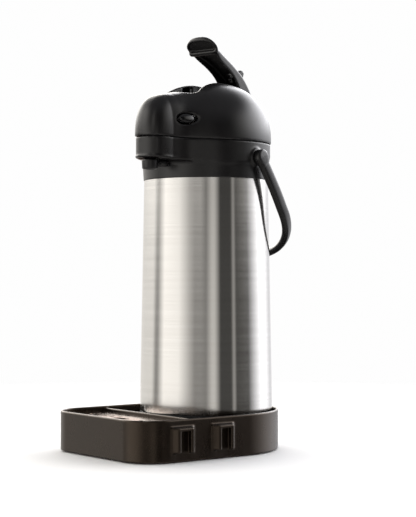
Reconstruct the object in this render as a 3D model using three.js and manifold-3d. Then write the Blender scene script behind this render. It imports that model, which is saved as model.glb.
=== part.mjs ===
// Thermal coffee airpot standing in its drip tray.
//
// Frame: millimetres, +Z up, origin on the pot's axis at table level.
// The spout points to -Y and the lid hinge is at +Y. The drip tray lies turned
// under the pot by TRAY_TURN about the pot's axis.

import * as THREE from 'three';
import { mergeVertices } from 'three/addons/utils/BufferGeometryUtils.js';
import Module from 'manifold-3d';

const wasm = await Module();
wasm.setup();

// ---------------------------------------------------------------- dimensions

const DEG = Math.PI / 180;
const GAP = 0.3;                 // between pieces that touch

// Drip tray
const TRAY_TURN = -13.8 * DEG;
const TRAY_WIDTH = 194;
const TRAY_FRONT = -163.2;       // front face
const TRAY_CORNER = 38;          // front corner radius
const TRAY_REAR_RADIUS = 97;
const TRAY_REAR_CENTRE = -13;    // Y of the rear arc's centre
const TRAY_HEIGHT = 48.2;
const TRAY_LIFT = 1.5;           // the wall's bottom edge over the table
const TRAY_WALL = 2.6;
const WELL_FLOOR = 6;
const DIVIDER_Y = -82.5;
const DIVIDER_TOP = 45.7;
const PLATFORM = 25;             // where the pot stands
const LEDGE_Z = 40.4;
const LEDGE_WIDTH = 4;
const GRATE_THICKNESS = 1.2;
const SOCKET_Y = [-108.5, -51.5];
const FOOT_RADIUS = 9;
const FOOT_TOP = 3.7;
const FOOT_PLACES = [[0, 0], [72, -128], [-72, -128], [62, 44], [-62, 44]];

// Steel vessel
const SHELL_BOTTOM = 45.7;
const SHELL_TOP = 323;
const SHELL_R_BOTTOM = 80;
const SHELL_R_TOP = 75;
const SHELL_WALL = 1;
const NECK_RADIUS = 30;
const NECK_TOP = 350;

// Head: collar with the spout bill, and the domed lid
const SEAM = 366.7;              // the lid's parting plane
const HEAD_RADIUS = 78.6;
const DOME_HEIGHT = 75.4;
const DOME_SWEEP = 6;            // the dome's crown sits this far behind the axis
const DOME_POWER = 2.25;
const BILL_TIP = 117.5;          // forward reach of the bill
const BILL_POWER = 2.8;
const BILL_HALF_WIDTH = 26;
const BILL_FLARE = 0.36;         // the bill widens this much per mm to the rear
const BILL_FLARE_FROM = 91.5;
const BILL_ROUND_FROM = 69;      // where the tip starts to round off
const LOBE_HEIGHT = 55;          // front lobe of the lid over the seam
const LOBE_CLIMB = 0.18;         // its top rises this much per mm to the rear
const BLEND = 13;                // fillet size where dome and lobe meet
const HEAD_WALL = 2.6;
const SEAM_RISE = 2.8;           // how much the seam climbs toward the bill's tip
const SEAM_HALF_GAP = 0.45;
const DECK_TOP = 345;
const BILL_BOTTOM_FRONT = 344.6;
const BILL_BOTTOM_SIDE = 339.8;

const NOZZLE_Y = -104.5;
const DUCT_Z = 352.8;

// Lever and pump
const LEVER_PIVOT = { y: 58, z: 395 };
const LEVER_RAISE = 36 * DEG;    // from pressed down to the rest pose
const LEVER_HALF = 15.5;
const CHANNEL_HALF = 16.8;
const PADDLE = { y: -48, a: 22.5, b: 14 };    // oval thumb pad, lever down
const PADDLE_FLOOR = 422;                     // floor of its pocket in the lid
const ROLLER_ARM = { y: -36.1, z: -6.4 };   // roller from the pivot, lever down
const ROLLER_RADIUS = 4;
const KNOB_HALF = 11;
const BELLOWS_BOTTOM = 362.6;
const PLATE_BOTTOM = 402.7;
const PLATE_TOP = 406.7;

// Lid hinge, bail handle and release buttons
const HINGE = { y: 83.5, z: 362 };
const BAIL_PIVOT = { y: -2, z: 348 };
const BAIL_LEAN = 37.6 * DEG;
const BAIL_HALF_DEPTH = 7.8;
const BAIL_HALF_THICKNESS = 4.6;

// Where the right release button sits in the lid's flank, and which way it faces.
const BUTTON = { x: 32.6, y: -75.5, z: 391, turn: -17 * DEG, tilt: 16 * DEG };
const BUTTON_LENGTH = 22;
const BUTTON_HEIGHT = 11;

// ------------------------------------------------------------------- helpers

function toSolid(geometry) {
  const bare = geometry.index ? geometry.clone() : geometry;
  bare.deleteAttribute('normal');
  bare.deleteAttribute('uv');
  const merged = mergeVertices(bare, 1e-4);
  return new wasm.Manifold(new wasm.Mesh({
    numProp: 3,
    vertProperties: new Float32Array(merged.attributes.position.array),
    triVerts: new Uint32Array(merged.index.array),
  }));
}

function toGeometry(solid) {
  const mesh = solid.getMesh();
  const geometry = new THREE.BufferGeometry();
  const corners = new Float32Array(mesh.vertProperties);
  geometry.setAttribute('position', new THREE.BufferAttribute(corners, 3));
  geometry.setIndex(new THREE.BufferAttribute(new Uint32Array(mesh.triVerts), 1));
  geometry.computeVertexNormals();
  return geometry;
}

function union(...solids) {
  return solids.reduce((sum, next) => sum.add(next));
}

// A box from its low to its high corner.
function box(low, high) {
  const size = high.map((value, axis) => value - low[axis]);
  const geometry = new THREE.BoxGeometry(...size);
  geometry.translate(...low.map((value, axis) => value + size[axis] / 2));
  return toSolid(geometry);
}

function discZ(radius, low, high, x = 0, y = 0, sides = 32) {
  const geometry = new THREE.CylinderGeometry(radius, radius, high - low, sides);
  geometry.rotateX(Math.PI / 2);
  geometry.translate(x, y, (low + high) / 2);
  return toSolid(geometry);
}

function rodX(radius, low, high, y, z, sides = 24) {
  const geometry = new THREE.CylinderGeometry(radius, radius, high - low, sides);
  geometry.rotateZ(Math.PI / 2);
  geometry.translate((low + high) / 2, y, z);
  return toSolid(geometry);
}

function shapeOf(points) {
  return new THREE.Shape(points.map(([x, y]) => new THREE.Vector2(x, y)));
}

// A plan outline raised from z = low to z = high.
function prismZ(points, low, high) {
  const geometry = new THREE.ExtrudeGeometry(shapeOf(points), {
    depth: high - low, bevelEnabled: false, curveSegments: 1,
  });
  geometry.translate(0, 0, low);
  return toSolid(geometry);
}

// A side outline in (Y, Z) with its thickness along X.
function prismX(points, low, high) {
  const geometry = new THREE.ExtrudeGeometry(shapeOf(points), {
    depth: high - low, bevelEnabled: false, curveSegments: 1,
  });
  geometry.applyMatrix4(new THREE.Matrix4().set(
    0, 0, 1, low,
    1, 0, 0, 0,
    0, 1, 0, 0,
    0, 0, 0, 1,
  ));
  return toSolid(geometry);
}

// A closed (radius, height) profile turned about the pot's axis.
function turned(profile, sides = 48, x = 0, y = 0) {
  const closed = profile.concat([profile[0]]);
  const geometry = new THREE.LatheGeometry(closed.map(([r, z]) => new THREE.Vector2(r, z)), sides);
  geometry.rotateX(Math.PI / 2);
  geometry.translate(x, y, 0);
  return toSolid(geometry);
}

function ring(inner, outer, low, high, sides = 48, x = 0, y = 0) {
  return turned([[inner, low], [outer, low], [outer, high], [inner, high]], sides, x, y);
}

function ellipse(cx, cy, a, b, sides = 32) {
  const points = [];
  for (let i = 0; i < sides; i++) {
    const t = (i / sides) * 2 * Math.PI;
    points.push([cx + a * Math.cos(t), cy + b * Math.sin(t)]);
  }
  return points;
}

function arc(cx, cy, radius, from, to, steps) {
  const points = [];
  for (let i = 0; i <= steps; i++) {
    const t = (from + (to - from) * (i / steps)) * DEG;
    points.push([cx + radius * Math.cos(t), cy + radius * Math.sin(t)]);
  }
  return points;
}

// A slot with round ends, its length along X.
function slotOutline(cx, cy, length, width, steps = 3) {
  const r = width / 2;
  const half = length / 2 - r;
  return arc(cx + half, cy, r, -90, 90, steps).concat(arc(cx - half, cy, r, 90, 270, steps));
}

function piece(name, solid, look) {
  const material = new THREE.MeshStandardMaterial(look);
  const mesh = new THREE.Mesh(toGeometry(solid), material);
  mesh.name = name;
  return mesh;
}

// --------------------------------------------------------------------- looks

const BLACK = { color: 0x2b2b2d, roughness: 0.38, metalness: 0 };
const BLACK_MATT = { color: 0x303033, roughness: 0.6, metalness: 0 };
const BROWN_BLACK = { color: 0x3a332e, roughness: 0.42, metalness: 0 };
const STEEL = { color: 0xc9c6c0, roughness: 0.28, metalness: 1 };
const POLISHED = { color: 0xd8d2ca, roughness: 0.12, metalness: 1 };
const RUBBER = { color: 0x1d1d1d, roughness: 0.85, metalness: 0 };
const SILICONE = { color: 0xb9b5ab, roughness: 0.6, metalness: 0 };
const PALE = { color: 0xcfccc2, roughness: 0.5, metalness: 0 };

// ----------------------------------------------------------------- drip tray

// The tray's plan, drawn inward by `inset`.
function trayOutline(inset) {
  const half = TRAY_WIDTH / 2 - inset;
  const front = TRAY_FRONT + inset;
  const corner = TRAY_CORNER - inset;
  const rear = TRAY_REAR_RADIUS - inset;
  return [
    ...arc(0, TRAY_REAR_CENTRE, rear, 0, 180, 30),
    ...arc(-half + corner, front + corner, corner, 180, 270, 9),
    ...arc(half - corner, front + corner, corner, 270, 360, 9),
  ];
}

// An open-bottomed socket on the right wall that takes the next tray's tab.
function socket(y) {
  const wall = TRAY_WIDTH / 2;
  const block = prismZ([
    [wall - 1, y - 16.4], [wall, y - 16], [wall + 8.5, y - 10.6], [wall + 8.5, y + 10.6],
    [wall, y + 16], [wall - 1, y + 16.4],
  ], 11, 39.5);
  const mouth = box([wall + 2, y - 6.8, 5], [wall + 20, y + 6.8, 35.5]);
  const pocket = box([wall + 0.4, y - 8.6, 5], [wall + 5, y + 8.6, 35.5]);
  return block.subtract(mouth).subtract(pocket);
}

// The tab on the left wall, shaped to hang in a neighbour's socket.
function linkTab(y) {
  const wall = -TRAY_WIDTH / 2;
  const stem = box([wall - 5.4, y - 6, 12], [wall + 1, y + 6, 34]);
  const head = box([wall - 8.2, y - 7.8, 12], [wall - 5.2, y + 7.8, 34]);
  return stem.add(head);
}

function trayShell() {
  const left = -TRAY_WIDTH;
  const right = TRAY_WIDTH;
  const frontHalf = box([left, -300, -10], [right, DIVIDER_Y - 1.4, 100]);
  const rearHalf = box([left, DIVIDER_Y + 1.4, -10], [right, 300, 100]);
  let shell = prismZ(trayOutline(0), TRAY_LIFT, TRAY_HEIGHT);
  const wellUpper = prismZ(trayOutline(TRAY_WALL), LEDGE_Z, 80);
  const wellLower = prismZ(trayOutline(TRAY_WALL + LEDGE_WIDTH), WELL_FLOOR, 80);
  shell = shell.subtract(wellUpper.intersect(frontHalf));
  const wellHalf = box([left, -300, -10], [right, DIVIDER_Y - 1.4 - LEDGE_WIDTH, 100]);
  shell = shell.subtract(wellLower.intersect(wellHalf));
  shell = shell.subtract(prismZ(trayOutline(TRAY_WALL), PLATFORM, 80).intersect(rearHalf));
  shell = shell.subtract(box([left, DIVIDER_Y - 1.5, DIVIDER_TOP], [right, DIVIDER_Y + 1.5, 80])
    .intersect(prismZ(trayOutline(TRAY_WALL), 0, 90)));
  const under = prismZ(trayOutline(TRAY_WALL), -5, PLATFORM - TRAY_WALL).intersect(rearHalf);
  shell = shell.subtract(under);
  shell = shell.subtract(prismZ(trayOutline(TRAY_WALL), -5, 4).intersect(frontHalf));
  for (const [x, y] of FOOT_PLACES) {
    if (y > DIVIDER_Y) shell = shell.add(discZ(FOOT_RADIUS + 2, 4, PLATFORM - 1, x, y, 24));
  }
  for (const y of SOCKET_Y) {
    shell = shell.add(socket(y)).add(linkTab(y));
  }
  return shell;
}

function grate() {
  const inset = TRAY_WALL + 0.5;
  const low = LEDGE_Z + GAP;
  let plate = prismZ(trayOutline(inset), low, low + GRATE_THICKNESS)
    .intersect(box([-200, -300, 0], [200, DIVIDER_Y - 1.4 - 0.5, 100]));
  const rows = 6;
  for (let row = 0; row < rows; row++) {
    const y = -150 + row * 11;
    for (const side of [-1, 1]) {
      for (let i = 0; i < 4; i++) {
        const x = side * (30 + i * 15.5);
        if (row < 2 && i > 2) continue;
        plate = plate.subtract(prismZ(slotOutline(x, y, 10.5, 3.6, 2), 30, 60));
      }
    }
  }
  plate = plate.subtract(prismZ(slotOutline(-6, -120, 26, 9, 5), 30, 60));
  return plate;
}

// -------------------------------------------------------------- steel vessel

function outerShell() {
  return turned([
    [SHELL_R_BOTTOM - SHELL_WALL, SHELL_BOTTOM], [SHELL_R_BOTTOM, SHELL_BOTTOM],
    [SHELL_R_TOP, SHELL_TOP], [SHELL_R_TOP, SHELL_TOP + 6],
    [SHELL_R_TOP - SHELL_WALL, SHELL_TOP + 6], [SHELL_R_TOP - SHELL_WALL, SHELL_TOP],
  ], 72);
}

function innerFlask() {
  const r = NECK_RADIUS;
  return turned([
    [0, 58], [58, 58], [66, 62], [69, 72], [66.5, 292], [60, 308], [44, 320], [r + 1, 328], [r, 334],
    [r, NECK_TOP], [r - 1, NECK_TOP], [r - 1, 334], [r, 327.4], [43.4, 319.2], [59.3, 307.3],
    [65.5, 291.8], [68, 72.3], [65.3, 62.9], [57.8, 59], [0, 59],
  ], 28);
}

function baseCup() {
  return turned([
    [0, 28], [56, 28], [57, 27.7], [72, 27.7], [75, 26], [79, 26], [79.6, 27.5], [80, 45.4],
    [77.8, 45.4], [77.8, 52], [75.6, 52], [75.6, 31], [0, 31],
  ], 44);
}

// ------------------------------------------------------ head: collar and lid

// Signed size of the head's plan and dome at a point: negative inside, about
// in millimetres near the surface. Below the seam the walls run straight down.
function headField(x, y, z) {
  const up = Math.max(0, z - SEAM);
  const sweep = DOME_SWEEP * Math.min(1, up / DOME_HEIGHT);
  const domeSize = Math.pow(
    Math.pow(Math.hypot(x, y - sweep) / HEAD_RADIUS, DOME_POWER)
      + Math.pow(up / DOME_HEIGHT, DOME_POWER),
    1 / DOME_POWER,
  );
  const dome = (domeSize - 1) * HEAD_RADIUS;
  const ahead = -y;
  const flare = Math.min(46, Math.max(0, BILL_FLARE_FROM - ahead));
  const width = BILL_HALF_WIDTH + BILL_FLARE * flare;
  const height = LOBE_HEIGHT + LOBE_CLIMB * Math.min(18, Math.max(0, 80 - ahead));
  const reach = ahead > BILL_ROUND_FROM
    ? (ahead - BILL_ROUND_FROM) / (BILL_TIP - BILL_ROUND_FROM)
    : Math.max(0, 40 - ahead) / 60;
  const lobeSize = Math.pow(
    Math.pow(Math.abs(x) / width, BILL_POWER) + Math.pow(up / height, BILL_POWER)
      + Math.pow(reach, BILL_POWER),
    1 / BILL_POWER,
  );
  const lobe = (lobeSize - 1) * BILL_HALF_WIDTH * 1.15;
  const mix = Math.max(0, BLEND - Math.abs(dome - lobe)) / BLEND;
  return Math.min(dome, lobe) - (mix * mix * BLEND) / 4;
}

// Distance from (0, -12, SEAM) along a direction to the head's surface.
function headReach(dx, dy, dz, inset) {
  let near = 5;
  let far = 160;
  for (let i = 0; i < 40; i++) {
    const middle = (near + far) / 2;
    const value = headField(dx * middle, -12 + dy * middle, SEAM + dz * middle);
    if (value < -inset) near = middle;
    else far = middle;
  }
  return near;
}

// The whole head surface: a sphere whose points are pushed out to it. Under the
// seam the points slide straight down to make an upright wall.
function headBody(inset, around, rings) {
  const sphere = new THREE.SphereGeometry(1, around, rings);
  sphere.rotateX(Math.PI / 2);
  const at = sphere.attributes.position;
  for (let i = 0; i < at.count; i++) {
    const d = new THREE.Vector3(at.getX(i), at.getY(i), at.getZ(i)).normalize();
    const reach = headReach(d.x, d.y, d.z, inset);
    at.setXYZ(i, d.x * reach, -12 + d.y * reach, SEAM + d.z * reach);
  }
  return toSolid(sphere);
}

// The head's plan at the seam, drawn inward by `inset`.
function headOutline(inset, steps = 60) {
  const points = [];
  for (let i = 0; i < steps; i++) {
    const t = (i / steps) * 2 * Math.PI;
    const reach = headReach(Math.cos(t), Math.sin(t), 0, inset);
    points.push([reach * Math.cos(t), -12 + reach * Math.sin(t)]);
  }
  return points;
}

// The lid's parting line seen from the side: level round the back, rising a
// little along the bill. Returns everything above it, moved up by `lift`.
function aboveSeam(lift) {
  const line = [
    [-150, SEAM_RISE], [-118, SEAM_RISE], [-102, SEAM_RISE * 0.9], [-86, SEAM_RISE * 0.66],
    [-70, SEAM_RISE * 0.36], [-56, SEAM_RISE * 0.14], [-40, 0], [150, 0],
  ].map(([y, z]) => [y, SEAM + z + lift]);
  return prismX(line.concat([[150, 700], [-150, 700]]), -150, 150);
}

// Everything below the bill's sloping underside, lifted by `lift`.
function underBill(lift) {
  return prismX([
    [-140, BILL_BOTTOM_FRONT + 1.6 + lift], [-40, BILL_BOTTOM_SIDE + lift], [-12, 341.5 + lift],
    [22, 351 + lift], [140, 351 + lift], [140, 200], [-140, 200],
  ], -140, 140);
}

// The round neck that stays under the bill, drawn in slightly toward the steel.
function neckCore() {
  return turned([
    [0, 200], [75.7, 200], [75.7, 322], [77, 341], [77.5, 352], [77.5, 400], [0, 400],
  ], 72);
}

function collar() {
  const skirt = SHELL_TOP - 0.6 + GAP;
  let body = prismZ(headOutline(0.9), skirt, SEAM + 6).subtract(aboveSeam(-SEAM_HALF_GAP));
  body = body.subtract(underBill(0).subtract(neckCore()));
  const room = prismZ(headOutline(0.9 + HEAD_WALL), DECK_TOP, 400);
  body = body.subtract(room);
  body = body.subtract(turned([[0, 300], [72.4, 300], [72.4, 332], [58, 341], [0, 341]], 48));
  const rimSlot = [SHELL_R_TOP - SHELL_WALL - GAP, SHELL_R_TOP + GAP];
  body = body.subtract(ring(rimSlot[0], rimSlot[1], 300, SHELL_TOP + 6 + GAP, 72));
  body = body.add(ring(NECK_RADIUS + 2, NECK_RADIUS + 5, 336, DECK_TOP, 32));
  body = body.subtract(discZ(NECK_RADIUS + 0.8, 300, 400, 0, 0, 40));
  body = body.subtract(discZ(7.2, 330, 350, 0, NOZZLE_Y, 24));
  for (const side of [-1, 1]) {
    const inner = Math.min(side * 74.5, side * 79);
    const outer = Math.max(side * 74.5, side * 79);
    body = body.add(rodX(9.4, inner, outer, BAIL_PIVOT.y, BAIL_PIVOT.z, 32));
    body = body.subtract(rodX(4.15, side * 80 - 12, side * 80 + 12, BAIL_PIVOT.y, BAIL_PIVOT.z, 20));
    const lug = union(
      rodX(4.3, side * 25 - 3, side * 25 + 3, HINGE.y, HINGE.z, 20),
      prismX([
        [70.5, 352], [76, 352], [HINGE.y + 3.2, HINGE.z - 3], [HINGE.y + 3, HINGE.z + 3],
        [HINGE.y - 1, HINGE.z + 4], [70.5, HINGE.z + 3.5],
      ], side * 25 - 3, side * 25 + 3),
    );
    body = body.add(lug);
  }
  body = body.subtract(rodX(2.15, -40, 40, HINGE.y, HINGE.z, 16));
  return body;
}


function lidShell() {
  const above = aboveSeam(SEAM_HALF_GAP);
  const outside = headBody(0, 60, 30);
  const inside = headBody(HEAD_WALL, 40, 20);
  const slot = box([-CHANNEL_HALF, -22, 391], [CHANNEL_HALF, 120, 500]);
  const slotFront = prismZ([
    [-CHANNEL_HALF, -5], [-CHANNEL_HALF - 4.4, -36], [-CHANNEL_HALF - 4.4, -42],
    [CHANNEL_HALF + 4.4, -42], [CHANNEL_HALF + 4.4, -36], [CHANNEL_HALF, -5],
  ], PADDLE_FLOOR, 500);
  const pocketPlan = ellipse(0, PADDLE.y, PADDLE.a + 1.6, PADDLE.b + 1.8, 36);
  const paddleRoom = prismZ(pocketPlan, PADDLE_FLOOR, 500);
  const tub = union(
    prismZ(ellipse(0, PADDLE.y, PADDLE.a + 4, PADDLE.b + 4, 36), PADDLE_FLOOR - 2.2, 500),
    box([-CHANNEL_HALF - 6, -46, PADDLE_FLOOR - 2.2], [CHANNEL_HALF + 6, -19.6, 500]),
  );
  const cheekOutline = [
    [-21, 412], [36, 412], [46, 402], [47, 386], [69, 386], [95, 386], [95, 500], [-21, 500],
  ];
  const cheeks = union(
    prismX(cheekOutline, -CHANNEL_HALF - 2.4, -CHANNEL_HALF),
    prismX(cheekOutline, CHANNEL_HALF, CHANNEL_HALF + 2.4),
  );
  const hollow = inside.subtract(tub).subtract(cheeks);
  let body = outside.subtract(hollow).subtract(slot).subtract(slotFront).subtract(paddleRoom);
  body = body.intersect(above);
  body = body.subtract(rodX(3.05, -40, 40, LEVER_PIVOT.y, LEVER_PIVOT.z, 20));
  const knuckle = union(
    rodX(4.3, -21.4, 21.4, HINGE.y, HINGE.z, 20),
    prismX([
      [HINGE.y - 3, HINGE.z + 3], [HINGE.y + 4.2, HINGE.z], [HINGE.y + 4.2, 372], [HINGE.y, 378],
      [75, 384], [74.6, SEAM + 0.9], [HINGE.y - 4.2, SEAM + 0.9],
    ], -21.4, 21.4),
  );
  body = body.add(knuckle.subtract(inside));
  body = body.subtract(rodX(2.15, -40, 40, HINGE.y, HINGE.z, 16));
  for (const side of [-1, 1]) {
    body = body.subtract(buttonBlock(side, BUTTON_LENGTH + 2.4, BUTTON_HEIGHT + 2.4, -14, 8));
  }
  return body;
}

// An oval block through the lid's flank, from depth `from` (inside) to `to`.
function buttonBlock(side, length, height, from, to, round = 0) {
  const oval = shapeOf(ellipse(0, 0, length / 2, height / 2, 28));
  const geometry = new THREE.ExtrudeGeometry(oval, {
    depth: to - from - 2 * round, bevelEnabled: round > 0, bevelThickness: round,
    bevelSize: round * 1.6, bevelOffset: -round * 1.6, bevelSegments: 4, curveSegments: 1,
  });
  geometry.translate(0, 0, from + round);
  // the block's axis to +X, its length along Y, its height along Z
  geometry.applyMatrix4(new THREE.Matrix4().set(
    0, 0, 1, 0,
    1, 0, 0, 0,
    0, 1, 0, 0,
    0, 0, 0, 1,
  ));
  geometry.rotateY(-BUTTON.tilt);
  geometry.rotateZ(BUTTON.turn);
  geometry.translate(BUTTON.x, BUTTON.y, BUTTON.z);
  const solid = toSolid(geometry);
  return side > 0 ? solid : solid.mirror([1, 0, 0]);
}

function button(side) {
  return buttonBlock(side, BUTTON_LENGTH, BUTTON_HEIGHT, -8, 2.2, 1.8);
}

// The lid's inner plate: a flange behind the rim with a cup for the bellows.
function lidBase() {
  let body = prismZ(headOutline(HEAD_WALL + 1.9), SEAM + 0.7, SEAM + 3.6);
  const lip = prismZ(headOutline(HEAD_WALL + 1.9), 361, SEAM + 1)
    .subtract(prismZ(headOutline(HEAD_WALL + 3.9), 350, 400))
    .intersect(box([-200, -200, 300], [200, 56, 500]));
  body = body.add(lip);
  body = body.add(discZ(40, 360, SEAM + 2, 0, 0, 48));
  body = body.subtract(discZ(37.6, 362.3, 400, 0, 0, 48));
  body = body.subtract(discZ(5, 350, 400, 0, 0, 20));
  body = body.subtract(box([-23, 70, 300], [23, 200, 500]));
  return body;
}

function stopper() {
  let body = turned([
    [0, 330], [26, 330], [28.4, 333], [28.4, NECK_TOP + GAP], [33, NECK_TOP + GAP], [33, 353.4],
    [14, 353.4], [14, 357], [0, 357],
  ], 32);
  body = body.add(box([-6, -32.6, 352], [6, -13.4, 357]));
  body = body.subtract(discZ(5, 300, 400, 0, 0, 20));
  body = body.subtract(discZ(4.8, 300, 349.3, 0, -17.5, 20));
  body = body.subtract(discZ(3.2, 340, DUCT_Z, 0, -17.5, 20));
  body = body.subtract(rodY(3, -50, -17.5, 0, DUCT_Z, 14));
  return body;
}

function rodY(radius, low, high, x, z, sides = 20) {
  const geometry = new THREE.CylinderGeometry(radius, radius, high - low, sides);
  geometry.translate(x, (low + high) / 2, z);
  return toSolid(geometry);
}

// The pipe in the bill: level from the stopper, then an elbow down to the nozzle.
function spoutDuct() {
  const level = rodY(4.4, NOZZLE_Y, -33.5, 0, DUCT_Z);
  const elbow = discZ(6, 348.4, DUCT_Z + 4.4, 0, NOZZLE_Y, 20);
  return level.add(elbow)
    .subtract(rodY(3, NOZZLE_Y, -30, 0, DUCT_Z, 14))
    .subtract(discZ(4, 340, DUCT_Z, 0, NOZZLE_Y, 16));
}

function nozzle() {
  const profile = [
    [6, 331.6], [8.2, 331.6], [9.1, 332.6], [9.6, 342.6], [6.9, 342.6], [6.9, 348], [4.6, 348],
    [5, 340],
  ];
  return turned(profile, 28, 0, NOZZLE_Y);
}

// --------------------------------------------------------- lever and bellows

// The lever is drawn pressed down, then its group is turned up to the rest pose.
const LEVER_BACK = [
  [67.5, 395], [68.6, 404], [67, 414], [62, 424], [54, 431.6], [43.5, 436.6], [31, 440], [18.5, 441.4],
  [5, 440.8], [-9, 439.4], [-22, 436.8], [-34, 433.6], [-44, 432], [-52, 432.4], [-58.6, 434.6],
];
const LEVER_FRONT = [
  [-61.4, 434], [-61.6, 430.4], [-56, 427.4], [-48, 425.6], [-36, 424.6], [-27, 424.8], [-14, 426.4],
  [2, 427.6], [15, 425.2], [28, 420.4], [38, 413], [45, 404], [48.6, 395], [50.5, 389], [58, 386.6],
  [64.5, 389.5],
];

function leverPlan(inset) {
  const half = LEVER_HALF - inset;
  const a = PADDLE.a - inset;
  const b = PADDLE.b - inset;
  const neck = Math.asin(Math.min(1, (half + 3.4) / a)) / DEG;
  return [
    [half, 80], [half, -10], [half + 1.4, -24], [half + 3.4, -36],
    ...arc(0, 0, 1, 90 - neck, -270 + neck, 20).map(([x, y]) => [x * a, PADDLE.y + y * b]),
    [-half - 3.4, -36], [-half - 1.4, -24], [-half, -10], [-half, 80],
  ];
}

function leverShell() {
  const side = LEVER_BACK.concat(LEVER_FRONT);
  const outer = prismX(side, -30, 30).intersect(prismZ(leverPlan(0).reverse(), 300, 500));
  const ceiling = LEVER_BACK.map(([y, z]) => [y < 45 ? y : y - 2.4, z - 2.6]);
  ceiling[ceiling.length - 1] = [-59.4, 431.8];
  const under = ceiling.concat([[-64, 380], [62, 380], [62, 386]]);
  let hollow = prismX(under, -30, 30).intersect(prismZ(leverPlan(2.2).reverse(), 300, 500));
  hollow = hollow.subtract(box([-30, -41.6, 300], [30, -39.6, 500]));
  let body = outer.subtract(hollow).add(box([-21.2, -43.6, 423.3], [21.2, -39.2, 427.4]));
  body = body.subtract(rodX(3.1, -40, 40, LEVER_PIVOT.y, LEVER_PIVOT.z, 20));
  body = body.subtract(box([-3.4, 11.2, 425], [3.4, 22.4, 450]));
  return body;
}

function presserYoke() {
  const { y, z } = LEVER_PIVOT;
  const ry = y + ROLLER_ARM.y;
  const rz = z + ROLLER_ARM.z;
  const arm = [
    ...arc(y, z, 4.6, -90, 60, 6), [y - 8, z + 20], [y - 22, z + 32], [y - 30, z + 34],
    [y - 31, z + 26], [ry - 3.9, rz + 6], ...arc(ry, rz, 3.9, 180, 270, 4),
    [ry + 7, rz - 0.5], [y - 12, z - 2],
  ];
  let body = union(prismX(arm, -9, -7), prismX(arm, 7, 9));
  body = body.add(box([-8, y - 30, z + 26], [8, y - 16, z + 29]));
  body = body.subtract(rodX(3.1, -20, 20, y, z, 20));
  body = body.subtract(rodX(2.15, -20, 20, ry, rz, 16));
  return body;
}

function roller() {
  const y = LEVER_PIVOT.y + ROLLER_ARM.y;
  const z = LEVER_PIVOT.z + ROLLER_ARM.z;
  return rodX(ROLLER_RADIUS, -6.5, 6.5, y, z, 24).add(rodX(2, -10.2, 10.2, y, z, 16));
}

// A knob that slides in the lever's back and holds the lever down.
function lockKnob() {
  const stem = box([-3, 16, 434], [3, 22, 443]);
  const head = prismX([
    [15.4, 442], [24.6, 441.3], [24.8, 444], [23.4, 449.4], [19.4, 450.2], [16.4, 448.6],
  ], -KNOB_HALF, KNOB_HALF);
  return stem.add(head);
}

function bellows() {
  const outer = [];
  const inner = [];
  const folds = 5;
  const height = PLATE_BOTTOM - GAP - BELLOWS_BOTTOM;
  for (let i = 0; i <= folds * 2; i++) {
    const z = BELLOWS_BOTTOM + (height * i) / (folds * 2);
    const r = i % 2 ? 35.5 : 30.5;
    outer.push([r, z]);
    inner.push([r - 1.7, z]);
  }
  return turned(outer.concat(inner.reverse()), 24);
}

function coilSpring(radius, wire, low, high, turns) {
  class Helix extends THREE.Curve {
    getPoint(t, target = new THREE.Vector3()) {
      const angle = t * turns * 2 * Math.PI;
      return target.set(radius * Math.cos(angle), radius * Math.sin(angle), low + (high - low) * t);
    }
  }
  const section = shapeOf(ellipse(0, 0, wire / 2, wire / 2, 6));
  return toSolid(new THREE.ExtrudeGeometry(section, {
    steps: turns * 11, extrudePath: new Helix(), curveSegments: 1,
  }));
}

function pumpPlate() {
  let body = turned([
    [0, PLATE_BOTTOM], [34, PLATE_BOTTOM], [34, PLATE_BOTTOM + 2], [20, PLATE_TOP], [0, PLATE_TOP],
  ], 40);
  body = body.add(box([-6, 12, PLATE_BOTTOM + 0.5], [6, 31, PLATE_TOP]));
  return body;
}

// --------------------------------------------------------------- bail handle

// Drawn hanging straight down; its group leans it back to the rest pose.
function bail() {
  const points = [[83.9, 0], [83.9, -20], [83.8, -40], [83.2, -56], [82.2, -71]];
  for (const t of [10, 22, 34, 46, 60, 75]) {
    points.push([82 * Math.cos(t * DEG) ** 0.85, -71 - 72 * Math.sin(t * DEG) ** 0.85]);
  }
  points.push([0, -143]);
  const mirrored = points.slice(0, -1).reverse().map(([x, z]) => [-x, z]);
  const line = points.concat(mirrored).map(([x, z]) => new THREE.Vector3(x, 0, z));
  const path = new THREE.CatmullRomCurve3(line);
  const section = [];
  for (let i = 0; i < 10; i++) {
    const t = ((i + 0.5) / 10) * 2 * Math.PI;
    const c = Math.cos(t);
    const s = Math.sin(t);
    section.push([
      Math.sign(c) * Math.pow(Math.abs(c), 0.7) * BAIL_HALF_DEPTH,
      Math.sign(s) * Math.pow(Math.abs(s), 0.7) * BAIL_HALF_THICKNESS,
    ]);
  }
  const sweep = new THREE.ExtrudeGeometry(shapeOf(section), {
    steps: 38, extrudePath: path, curveSegments: 1,
  });
  // the grip is slimmer than the arms
  const at = sweep.attributes.position;
  for (let i = 0; i < at.count; i++) {
    const down = Math.min(1, Math.max(0, (-85 - at.getZ(i)) / 48));
    at.setY(i, at.getY(i) * (1 - 0.22 * down));
  }
  let body = toSolid(sweep);
  for (const side of [-1, 1]) {
    const inward = [Math.min(side * 79.4, side * 60), Math.max(side * 79.4, side * 60)];
    const hub = [Math.min(side * 79.4, side * 89.2), Math.max(side * 79.4, side * 89.2)];
    body = body.add(rodX(8.8, hub[0], hub[1], 0, 0, 28));
    body = body.subtract(box([inward[0], -30, -20], [inward[1], 30, 40]));
    body = body.subtract(rodX(4.15, side * 79.8 - 8, side * 79.8 + 8, 0, 0, 20));
  }
  return body;
}

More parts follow.
